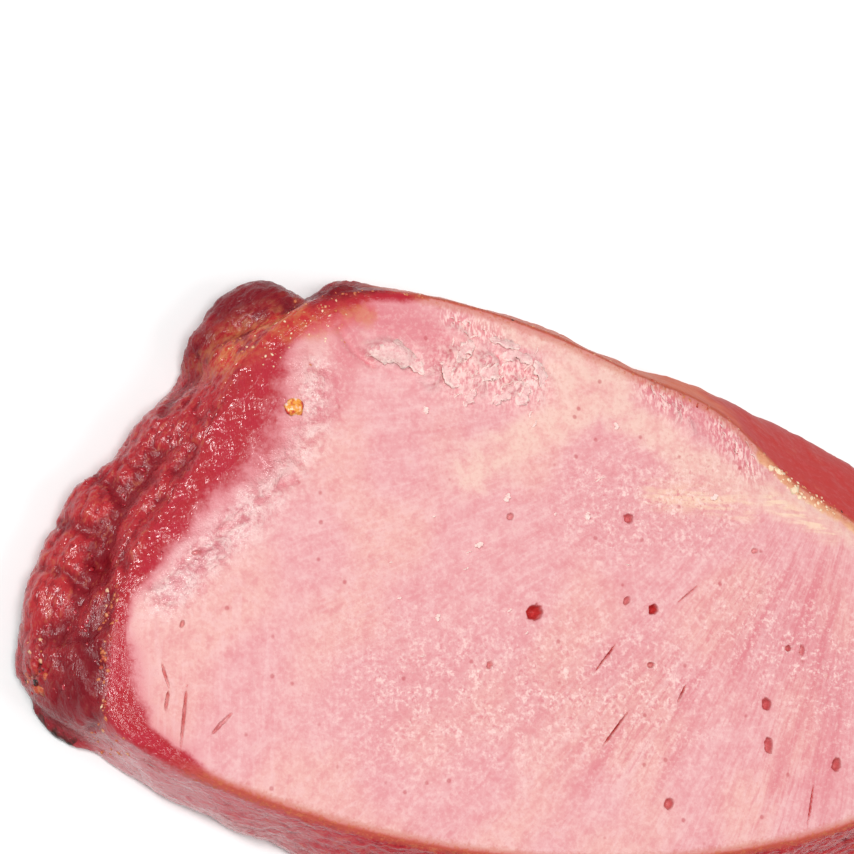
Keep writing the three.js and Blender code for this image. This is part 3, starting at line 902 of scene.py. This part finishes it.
def face_colour(g, c, place, grit):
    """The cut face: colour, roughness and how far the glaze has soaked in."""
    shade, fine, mottle = add_flesh(g, c, place, grit)
    pricks = g.group(Groups.get("dots"), Place=place, Per_Millimetre=0.30, Share=0.35, Radius=0.13)["Mask"]
    shade = g.tint(g.times(0.5, pricks), shade, c.red)
    # Painted glare in the glittering band beside the bark, and painted glints in cream on its crumbs.
    painted_glare = g.times(g.read("glitter"), g.mask(mottle, 0.38, 0.58))
    shade = g.tint(g.times(0.35, g.times(g.read("glitter"), g.mask(mottle, 0.55, 0.40))), shade, c.rose)
    shade = g.tint(g.times(0.6, painted_glare), shade, c.painted_glare)
    shade = g.tint(g.times(0.7, g.times(painted_glare, grit["Crumb"])), shade, c.cream)
    shade = g.tint(g.times(0.5, g.times(g.read("glitter"), grit["Gap"])), shade, c.rose)
    wander = g.math("SUBTRACT", mottle, 0.5)
    ragged = g.plus(g.times(0.6, wander), g.times(0.5, g.math("SUBTRACT", grit["Height"], 0.5)))
    soaked = g.plus(g.read("soaked"), ragged)
    shade = g.tint(g.times(0.75, g.mask(soaked, 0.05, 0.65)), shade, c.rose)
    deep = g.tint(g.mask(mottle, 0.38, 0.62), c.bark, c.red)
    shade = g.tint(g.times(0.97, g.mask(soaked, 0.36, 0.95)), shade, deep)
    amber = g.mask(g.plus(g.read("amber"), g.times(1.2, wander)), 0.1, 1.0)
    shade = g.tint(g.times(0.6, amber), shade, g.tint(g.mask(mottle, 0.40, 0.6), c.scarlet, c.amber))
    gold = g.mask(g.plus(g.read("gold"), g.times(1.6, wander)), 0.3, 1.0)
    shade = g.tint(g.times(0.7, gold), shade, c.gold)
    # Painted shade inside the pores and splits.
    shade = g.tint(g.read("pit"), shade, c.pore)
    return shade, g.blend(g.mask(soaked, 0.3, 0.9), g.blend(fine, 0.40, 0.60), 0.22)


def bark_colour(g, c, place):
    """The glazed bark: colour, roughness and height."""
    band = g.read_place("band")
    lumps = g.noise(band, 0.42, 2.0, 0.6)
    grain = g.noise(band, 1.6, 2.0, 0.65)
    hollow = g.plus(g.read("hollow"), g.times(1.1, g.math("SUBTRACT", 0.5, lumps)))
    lobe_light = g.plus(g.read("lobe_light"), g.times(1.2, g.math("SUBTRACT", lumps, 0.5)))
    # Painted light: the tops of the bark's lobes lighter scarlet, as if lit through the glaze.
    shade = g.tint(g.times(0.3, g.mask(lobe_light, 0.1, 1.0)), c.bark, c.scarlet)
    # Painted shade: maroon in the bark's hollows and folds, and in the troughs of its grain.
    shade = g.tint(g.times(0.65, g.mask(hollow, 0.15, 0.85)), shade, c.maroon_and_shade)
    shade = g.tint(g.times(0.45, g.mask(grain, 0.48, 0.34)), shade, c.maroon_and_shade)
    # Painted highlight: warm tan on the ridges of the bark's grain.
    shade = g.tint(g.times(0.40, g.mask(grain, 0.55, 0.70)), shade, c.crust_and_highlight)
    shade = g.tint(g.times(0.88, g.read("plum")), shade, c.maroon_and_shade)
    caramel = g.tint(g.mask(grain, 0.40, 0.6), c.scarlet, c.amber)
    shade = g.tint(g.times(0.95, g.times(g.read("amber"), g.mask(lumps, 0.36, 0.54))), shade, caramel)
    orange = g.mask(g.plus(g.read("orange"), g.times(1.2, g.math("SUBTRACT", lumps, 0.5))), 0.1, 0.9)
    shade = g.tint(g.read("rind"), shade, g.tint(orange, c.rind, c.waxy))
    bare = g.times(g.read("bare_wall"), g.mask(lumps, 0.25, 0.45))
    shade = g.tint(g.times(0.85, bare), shade, c.rose)
    char = g.mask(g.plus(g.read("charred"), g.times(0.8, g.math("SUBTRACT", grain, 0.5))), 0.45, 0.85)
    shade = g.tint(g.times(0.95, char), shade, c.burnt)
    # Painted highlight: rose on the ridges of the rind's grain.
    shade = g.tint(g.times(g.times(0.12, g.read("rind")), g.mask(grain, 0.5, 0.66)), shade, c.rose)
    rough_skin = g.blend(g.read("rind"), g.blend(g.mask(grain, 0.3, 0.7), 0.25, 0.45), 0.52)
    return shade, rough_skin, g.times(grain, g.blend(g.read("rind"), 1.2, 0.4))


def cooked_ham():
    c = bpy.context.scene.ham_colours
    material, g, out = shader(
        "cooked_ham",
        IOR=1.38,
        Coat_Roughness=0.1,
        Coat_IOR=1.4,
    )
    place = millimetres(g)
    grit = g.group(Groups.get("grit"), Place=place, Per_Millimetre=1.5)
    face, face_rough = face_colour(g, c, place, grit)
    bark, bark_rough, bark_height = bark_colour(g, c, place)
    wander = g.times(1.6, g.math("SUBTRACT", grit["Height"], 0.5))
    from_rim = g.plus(g.read("inside"), wander)
    cut = g.mask(g.math("SUBTRACT", from_rim, g.read("overlap")), -0.7, 0.7)
    off_rim = g.math("ABSOLUTE", g.math("SUBTRACT", from_rim, 0.6))
    rim = g.times(g.mask(off_rim, 1.4, 0.3), g.mask(g.read("soaked_reach"), 2.0, 1.2))
    shade = g.tint(cut, bark, face)
    shade = g.tint(g.times(g.blend(grit["Crumb"], 0.45, 0.85), rim), shade, c.crust_and_highlight)
    g.feed(out["Base Color"], shade)
    g.feed(out["Roughness"], g.blend(rim, g.blend(cut, bark_rough, face_rough), 0.8))
    dull = g.math("MAXIMUM", g.read("plum"), g.times(0.8, g.mask(g.read("hollow"), 0.15, 0.6)))
    waxed = g.times(0.9, g.math("SUBTRACT", 1.0, g.math("MAXIMUM", g.read("rind"), dull)))
    glazed = g.times(g.mask(g.read("soaked"), 0.2, 0.8), g.mask(g.read("soaked_reach"), 1.6, 5.0))
    wet = g.times(0.9, g.math("MAXIMUM", glazed, g.read("glitter")))
    g.feed(out["Coat Weight"], g.blend(rim, g.blend(cut, waxed, wet), 0.0))
    bumpy = g.plus(0.4, g.plus(g.times(0.7, g.read("crumbly")), g.times(1.5, g.read("glitter"))))
    dry = g.times(cut, g.mask(g.read("soaked"), 0.9, 0.3))
    height = g.blend(dry, bark_height, g.times(bumpy, grit["Height"]))
    bump = {"Height": height, "Strength": 1.0, "Distance": 0.22 * MM}
    relief = g.add("ShaderNodeBump", bump).outputs[0]
    g.feed(out["Normal"], relief)
    g.feed(out["Coat Normal"], relief)
    return material


def torn_fibre():
    """Pale torn flesh: pink in the middle, dry and cream at the edges."""
    c = bpy.context.scene.ham_colours
    material, g, out = shader(
        "torn_fibre", IOR=1.38, Specular_IOR_Level=0.3
    )
    place = millimetres(g)
    grit = g.group(Groups.get("grit"), Place=place, Per_Millimetre=1.8)
    dry = g.plus(g.read("dry"), g.times(2.0, g.math("SUBTRACT", grit["Height"], 0.5)))
    shade = g.tint(g.mask(dry, 0.1, 1.0), g.tint(0.8, c.peach, c.pale), c.cream)
    g.feed(out["Base Color"], g.tint(g.times(0.3, grit["Gap"]), shade, c.rose))
    g.feed(out["Roughness"], g.blend(grit["Crumb"], 0.5, 0.7))
    bump = {"Height": grit["Height"], "Strength": 0.8, "Distance": 0.15 * MM}
    g.feed(out["Normal"], g.add("ShaderNodeBump", bump).outputs[0])
    return material


def crisp_crumb():
    """Crumbs from cream fat through amber to black."""
    c = bpy.context.scene.ham_colours
    material, g, out = shader("crisp_crumb", IOR=1.45)
    place = millimetres(g)
    speck = g.noise(place, 2.2, 2.0)
    toast = g.plus(g.read("toast"), g.times(0.6, g.math("SUBTRACT", speck, 0.5)))
    shade = g.tint(g.mask(toast, 0.0, 0.4), c.crisp, c.amber)
    shade = g.tint(g.mask(toast, 0.35, 0.75), shade, c.bark)
    g.feed(out["Base Color"], g.tint(g.mask(toast, 0.7, 1.0), shade, c.burnt))
    g.feed(out["Roughness"], g.blend(speck, 0.2, 0.5))
    return material


def glaze_bead():
    """Clear red beads of glaze."""
    c = bpy.context.scene.ham_colours
    material, g, out = shader("glaze_bead", IOR=1.45, Coat_Weight=1.0, Coat_Roughness=0.1)
    patch = g.noise(millimetres(g), 0.5, 2.0)
    g.feed(out["Base Color"], g.tint(g.mask(patch, 0.42, 0.6), c.bark, c.red))
    g.feed(out["Roughness"], g.blend(patch, 0.1, 0.35))
    return material


def burnt_sugar():
    """Amber sugar with pale cream specks, which are painted highlights."""
    c = bpy.context.scene.ham_colours
    material, g, out = shader("burnt_sugar", IOR=1.45, Coat_Weight=0.5, Coat_Roughness=0.08)
    patch = g.noise(millimetres(g), 1.1, 3.0)
    shade = g.tint(g.mask(patch, 0.38, 0.52), c.scarlet, c.sugar)
    # Painted highlights: pale cream specks where the noise is high.
    g.feed(out["Base Color"], g.tint(g.mask(patch, 0.52, 0.66), shade, c.cream))
    g.feed(out["Roughness"], g.blend(patch, 0.15, 0.4))
    return material


# ---- Pieces ----


def build_slice():
    sizes = bpy.context.scene.ham_sizes
    mesh = base_skin(sizes.skin_cell)
    skin = Skin(mesh)
    hollow, lobe_light = carve_bark(skin, sizes)
    carve_face(skin, sizes)
    pit = carve_pits(skin)
    skin.at[:, 2] = np.maximum(skin.at[:, 2], 0)
    skin.write_places()
    paint_skin(skin, hollow, lobe_light, pit)
    piece = new_piece(SLICE, mesh, cooked_ham())
    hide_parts(CAD_NODE)
    return piece


@functools.cache
def surface_tree():
    """The finished slice, for dropping smaller pieces onto it."""
    mesh = bpy.data.objects[SLICE].data
    return BVHTree.FromPolygons([v.co for v in mesh.vertices], [p.vertices for p in mesh.polygons])


def drop_on(tree, x, y):
    """The highest point of the slice above that point of the drawing, and its normal, in metres."""
    place, normal, _, _ = tree.ray_cast(drawn(x, y, 2 * THICKNESS), Vector((0, 0, -1)))
    return place, normal


def walk(path, share):
    """The point at that share of the way along a line of points, and the line's direction there."""
    steps = [Vector(b) - Vector(a) for a, b in zip(path[:-1], path[1:])]
    left = share * sum(step.length for step in steps)
    for start, step in zip(path, steps):
        if left <= step.length:
            return Vector(start) + step.normalized() * left, step.normalized()
        left -= step.length
    return Vector(path[-1]), steps[-1].normalized()


def finish_piece(name, shape, material):
    for face in shape.faces:
        face.smooth = True
    mesh = bpy.data.meshes.new(name)
    shape.to_mesh(mesh)
    shape.free()
    return new_piece(name, mesh, material)


def stand_on(normal, spin):
    """The turn that stands a piece on a surface, spun by that angle about the surface's normal."""
    return normal.to_track_quat("Z", "Y").to_matrix().to_4x4() @ Matrix.Rotation(spin, 4, "Z")


def add_shred(shape, tree, rng, place, length, width, angle, bend, lift, dry=0.2):
    """One flap of meat: a ragged strip that bends as it runs and hugs the face, with one edge up."""
    made = bmesh.ops.create_grid(shape, x_segments=18, y_segments=4, size=0.5)["verts"]
    layer = shape.verts.layers.float["dry"]
    drift = rng.uniform(0, 50)
    radius = length / bend
    for vert in made:
        t, side = vert.co.x, 2 * vert.co.y
        taper = (1 - abs(1.96 * t) ** 2.6) ** 0.5
        ragged = 1 + 0.9 * noise.noise((4 * t + drift, 0.8 * side, drift))
        ragged += 0.7 * noise.noise((11 * t + drift, 1.5 * side, drift))
        across = Vector((-math.sin(bend * t), math.cos(bend * t))) * (side * width / 2 * taper * ragged)
        along = Vector((radius * math.sin(bend * t), radius * (1 - math.cos(bend * t))))
        spot = place + Matrix.Rotation(angle, 2) @ (along + across)
        ground, _ = drop_on(tree, spot.x, spot.y)
        crown = lift * (taper * (0.7 - 0.5 * side + 0.7 * noise.noise((5 * t, 2 * side + drift, 0))) - 0.15)
        vert[layer] = dry + (1 - dry) * max(abs(side), abs(2 * t)) ** 4
        vert.co = ground + Vector((0, 0, crown * MM))
    bmesh.ops.solidify(shape, geom=list({f for v in made for f in v.link_faces}), thickness=0.25 * lift * MM)


def mark(shape, name, verts, value):
    layer = shape.verts.layers.float.get(name) or shape.verts.layers.float.new(name)
    for vert in verts:
        vert[layer] = value


def build_shreds():
    """Flaps that the knife tore up, wisps of fibre and pale flecks, lying on the cut face."""
    rng = random.Random(bpy.context.scene.ham_stage.seed)
    lift = bpy.context.scene.ham_sizes.shred / MM
    tree = surface_tree()
    shape = bmesh.new()
    shape.verts.layers.float.new("dry")
    for x, y, length_mm, width_mm, angle, bend in SHREDS:
        turns = (math.radians(angle), math.radians(bend))
        add_shred(shape, tree, rng, Vector((x, y)), length_mm, width_mm, *turns, 1.35 * lift)
    for path, stray, count, length_mm, angle in WISPS:
        for _ in range(count):
            spot, way = walk(path, rng.random())
            place = spot + Vector((-way.y, way.x)) * rng.gauss(0, stray)
            if drop_on(tree, *place)[0].z < (THICKNESS - 0.8) * MM:
                continue
            turns = (math.radians(rng.gauss(angle, 18)), rng.choice((-1, 1)) * rng.uniform(0.5, 2))
            size = rng.uniform(0.5, 1.5) * length_mm
            add_shred(shape, tree, rng, place, size, rng.uniform(0.14, 0.3), *turns, 0.6 * lift, 0.9)
    for x, y in FLECKS:
        size = rng.uniform(1, 1.6)
        add_shred(shape, tree, rng, Vector((x, y)), size, 0.5 * size, rng.uniform(0, 3), 0.6, lift, 1.0)
    bmesh.ops.recalc_face_normals(shape, faces=shape.faces)
    return finish_piece("torn_shreds", shape, torn_fibre())


def add_crumb(shape, rng, width, flat):
    """One irregular crumb, about that wide."""
    made = bmesh.ops.create_icosphere(shape, subdivisions=1, radius=width / 2)["verts"]
    drift = rng.uniform(0, 90)
    for vert in made:
        vert.co *= 1 + 0.9 * noise.noise(vert.co / width * 3.4 + Vector((drift, 0, 0)))
    bmesh.ops.scale(shape, vec=(rng.uniform(0.8, 1.5), 1, flat), verts=made)
    return made


def build_crumbs():
    """Crisp crumbs of fat and sugar along the edges."""
    rng = random.Random(bpy.context.scene.ham_stage.seed + 1)
    tree = surface_tree()
    shape = bmesh.new()
    shape.verts.layers.float.new("toast")
    for path, stray, count, width, toast in CRUMB_LINES:
        for _ in range(count):
            spot, way = walk(path, rng.random())
            side = Vector((-way.y, way.x)) * rng.gauss(0, stray)
            place, normal = drop_on(tree, spot.x + side.x, spot.y + side.y)
            if place is None:
                continue
            made = add_crumb(shape, rng, width * rng.uniform(0.5, 1.5) * MM, rng.uniform(0.4, 0.8))
            turn = stand_on(normal, rng.uniform(0, 2 * math.pi))
            sunk = Matrix.Translation(place - normal * (0.15 * width * MM))
            bmesh.ops.transform(shape, matrix=sunk @ turn, verts=made)
            mark(shape, "toast", made, min(1, max(0, rng.gauss(toast, 0.12))))
    return finish_piece("crisp_crumbs", shape, crisp_crumb())


def build_beads():
    """Small beads of glaze on the broad band of bark."""
    rng = random.Random(bpy.context.scene.ham_stage.seed + 2)
    tree = surface_tree()
    shape = bmesh.new()
    for _ in range(200):
        spot, way = walk(BEAD_LINE, rng.random())
        side = Vector((-way.y, way.x)) * rng.gauss(0, 3)
        place, normal = drop_on(tree, spot.x + side.x, spot.y + side.y)
        if place is None or place.z < 2 * MM or normal.z < 0.2:
            continue
        width = rng.uniform(0.4, 1.1) * MM
        made = add_crumb(shape, rng, width, 0.5)
        turn = stand_on(normal, rng.uniform(0, 2 * math.pi))
        sunk = Matrix.Translation(place - normal * (0.2 * width))
        bmesh.ops.transform(shape, matrix=sunk @ turn, verts=made)
    return finish_piece("glaze_beads", shape, glaze_bead())


def build_drop():
    """The drop of burnt sugar on the cut face."""
    x, y, half = DROP
    shape = bmesh.new()
    made = bmesh.ops.create_icosphere(shape, subdivisions=3, radius=half * MM)["verts"]
    for vert in made:
        vert.co *= 1 + 0.35 * noise.noise(vert.co / (half * MM) * 1.6)
    bmesh.ops.scale(shape, vec=(1.15, 0.9, 0.35), verts=made)
    place, _ = drop_on(surface_tree(), x, y)
    bmesh.ops.translate(shape, vec=place, verts=made)
    return finish_piece("glaze_drop", shape, burnt_sugar())


# ---- Stage ----


def drawn(x, y, z=0.0):
    """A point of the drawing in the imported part's frame, in metres."""
    return (Vector((x, y, z)) + DRAWING_ZERO) * MM


VIEW_TILT = (22.0, 10.0)  # degrees by which the camera leans towards -X and -Y
VIEW_DISTANCE = 0.37278


def place_camera(lens):
    """The camera leans over the cut face, with the drawing's Y axis up in the picture."""
    lean = Vector((-math.tan(math.radians(VIEW_TILT[0])), -math.tan(math.radians(VIEW_TILT[1])), 1))
    back = lean.normalized()
    right = Vector((0, 1, 0)).cross(back).normalized()
    turn = Matrix((right, back.cross(right), back)).transposed().to_4x4()
    data = bpy.data.cameras.new("camera")
    data.lens = lens
    data.clip_start = 0.01
    camera = bpy.data.objects.new("camera", data)
    camera.matrix_world = Matrix.Translation(drawn(0, 0, THICKNESS) + back * VIEW_DISTANCE) @ turn
    bpy.context.scene.collection.objects.link(camera)
    bpy.context.scene.camera = camera


def area_light(name, position, power, size):
    data = bpy.data.lights.new(name, "AREA")
    data.energy, data.size = power, size
    light = bpy.data.objects.new(name, data)
    light.location = position
    light.rotation_euler = (-Vector(position)).to_track_quat("-Z", "Y").to_euler()
    bpy.context.scene.collection.objects.link(light)


def build_stage():
    scene = bpy.context.scene
    stage = scene.ham_stage
    floor = bmesh.new()
    bmesh.ops.create_grid(floor, x_segments=4, y_segments=4, size=3)
    mesh = bpy.data.meshes.new("floor")
    floor.to_mesh(mesh)
    floor.free()
    material, g, out = shader("white_board", Roughness=0.7)
    haze = g.noise(millimetres(g), 0.01, 2.0)
    g.feed(out["Base Color"], g.tint(g.times(0.03, haze), scene.ham_colours.floor, (1, 1, 1, 1)))
    mesh.materials.append(material)
    board = bpy.data.objects.new("floor", mesh)
    scene.collection.objects.link(board)
    area_light("key", (-0.55, 0.25, 0.8), stage.key, 0.2)
    area_light("fill", (0.75, -0.25, 0.75), stage.fill, 0.6)
    area_light("top", (-0.16, -0.12, 1.15), stage.top, 0.42)
    world = bpy.data.worlds.new("studio")
    world.use_nodes = True
    world.node_tree.nodes["Background"].inputs["Strength"].default_value = stage.sky
    world.node_tree.nodes["Background"].inputs["Color"].default_value = (1, 1, 1, 1)
    scene.world = world
    scene.view_settings.view_transform = "Standard"
    place_camera(stage.lens)


# ---- The add-on ----


class HAM_OT_slice(bpy.types.Operator):
    """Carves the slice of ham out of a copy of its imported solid"""

    bl_idname = "ham.slice"
    bl_label = "Slice"

    def execute(self, context):
        build_slice()
        return {"FINISHED"}


class HAM_OT_shreds(bpy.types.Operator):
    """Lays the torn flakes and pale flecks on the cut face"""

    bl_idname = "ham.shreds"
    bl_label = "Torn shreds"

    def execute(self, context):
        build_shreds()
        return {"FINISHED"}


class HAM_OT_crumbs(bpy.types.Operator):
    """Scatters crisp crumbs along the edges"""

    bl_idname = "ham.crumbs"
    bl_label = "Crisp crumbs"

    def execute(self, context):
        build_crumbs()
        return {"FINISHED"}


class HAM_OT_beads(bpy.types.Operator):
    """Scatters beads of glaze on the bark"""

    bl_idname = "ham.beads"
    bl_label = "Glaze beads"

    def execute(self, context):
        build_beads()
        return {"FINISHED"}


class HAM_OT_drop(bpy.types.Operator):
    """Lays the drop of burnt sugar on the cut face"""

    bl_idname = "ham.drop"
    bl_label = "Burnt sugar"

    def execute(self, context):
        build_drop()
        return {"FINISHED"}


class HAM_OT_stage(bpy.types.Operator):
    """Sets up the floor, the lights and the camera"""

    bl_idname = "ham.stage"
    bl_label = "Stage"

    def execute(self, context):
        build_stage()
        return {"FINISHED"}


class HAM_PT_panel(bpy.types.Panel):
    bl_label = "Ham slice"
    bl_idname = "HAM_PT_panel"
    bl_space_type = "VIEW_3D"
    bl_region_type = "UI"
    bl_category = "Ham Slice"

    def draw(self, context):
        for operator in OPERATORS:
            self.layout.operator(operator.bl_idname)
        for name in SETTINGS:
            group = getattr(context.scene, name)
            for key in group.bl_rna.properties.keys():
                if key not in ("rna_type", "name"):
                    self.layout.prop(group, key)


SETTINGS = {"ham_sizes": HamSizes, "ham_colours": HamColours, "ham_stage": HamStage}
OPERATORS = (HAM_OT_slice, HAM_OT_shreds, HAM_OT_crumbs, HAM_OT_beads, HAM_OT_drop, HAM_OT_stage)


def register():
    for name, group in SETTINGS.items():
        bpy.utils.register_class(group)
        setattr(bpy.types.Scene, name, PointerProperty(type=group))
    for cls in (*OPERATORS, HAM_PT_panel):
        bpy.utils.register_class(cls)


def unregister():
    for cls in (HAM_PT_panel, *reversed(OPERATORS)):
        bpy.utils.unregister_class(cls)
    for name, group in SETTINGS.items():
        delattr(bpy.types.Scene, name)
        bpy.utils.unregister_class(group)


def main():
    register()
    bpy.ops.ham.slice()
    bpy.ops.ham.shreds()
    bpy.ops.ham.crumbs()
    bpy.ops.ham.beads()
    bpy.ops.ham.drop()
    bpy.ops.ham.stage()


if __name__ == "__main__":
    main()
